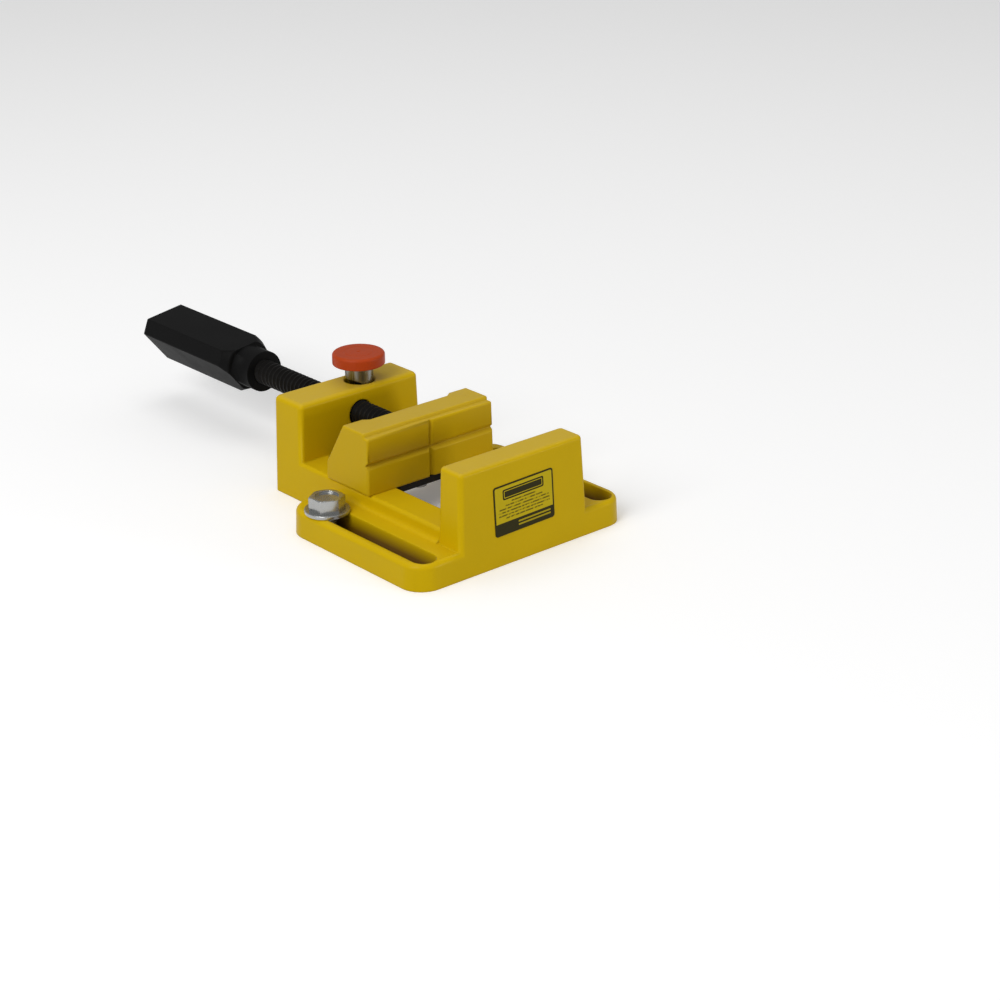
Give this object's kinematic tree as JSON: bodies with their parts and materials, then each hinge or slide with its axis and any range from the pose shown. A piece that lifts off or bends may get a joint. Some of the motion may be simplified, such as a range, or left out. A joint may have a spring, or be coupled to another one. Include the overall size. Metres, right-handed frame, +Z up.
{
  "type": "drill press vise",
  "caption": "Low yellow vise that bolts to a drilling table, with a screw-driven sliding jaw, a quick-release push button and a three-sided black handle.",
  "frame": {"origin": "middle of the base casting's underside, on the screw's centre line seen from above", "axes": "+Z up from the table, +Y along the screw towards the handle, +X to the right seen from the fixed jaw's front"},
  "size_m": [0.1106, 0.2521, 0.0547],
  "materials": {
    "body_paint": "yellow gloss paint over a smooth casting",
    "jaw_paint": "yellow satin paint over a smooth casting",
    "black_steel": "black oxide, oiled",
    "plain_steel": "bright, as drawn",
    "spring_steel": "dark, tempered",
    "plated_steel": "zinc plated",
    "grip_plastic": "black, faintly textured moulding",
    "button_plastic": "orange-red, satin",
    "label_film": "printed film, bare of words"
  },
  "bodies": {
    "base": {"base_casting": "body_paint", "front_label": "label_film", "release_spring": "spring_steel"},
    "jaw": {"moving_jaw": "jaw_paint", "guide_plate": "black_steel", "keeper_bar": "plain_steel", "keeper_screw_left": "plain_steel", "keeper_screw_right": "plain_steel", "keeper_washer_left": "spring_steel", "keeper_washer_right": "spring_steel", "screw_retaining_pin": "plain_steel", "thrust_washer": "plain_steel"},
    "screw": {"lead_screw": "black_steel", "handle_grip": "grip_plastic", "handle_pin": "black_steel"},
    "release": {"release_pin": "plated_steel", "release_button": "button_plastic"},
    "left_bolt": {"bolt_left": "plated_steel", "washer_left": "plated_steel"},
    "right_bolt": {"bolt_right": "plated_steel", "washer_right": "plated_steel"}
  },
  "joints": [
    {"name": "jaw_slide", "type": "slide", "parent": "base", "child": "jaw", "axis": [0, 1, 0], "range_m": [-0.0433, 0.0195]},
    {"name": "screw_turn", "type": "hinge", "parent": "jaw", "child": "screw", "pos_m": [0, 0.06, 0.0313], "axis": [0, 1, 0], "range_deg": [-5774, 2601]},
    {"name": "release_press", "type": "slide", "parent": "base", "child": "release", "axis": [0, 0, -1], "range_m": [0, 0.0065], "stiffness_N_per_m": 900, "springref_m": -0.004, "deforming": ["release_spring"]},
    {"name": "left_bolt_slide", "type": "slide", "parent": "base", "child": "left_bolt", "axis": [0, -1, 0], "range_m": [-0.0035, 0.0623]},
    {"name": "right_bolt_slide", "type": "slide", "parent": "base", "child": "right_bolt", "axis": [0, -1, 0], "range_m": [-0.0259, 0.0399]}
  ],
  "couplings": [
    {"joint": "screw_turn", "follows": "jaw_slide", "rad_per_m": 2327.1}
  ]
}
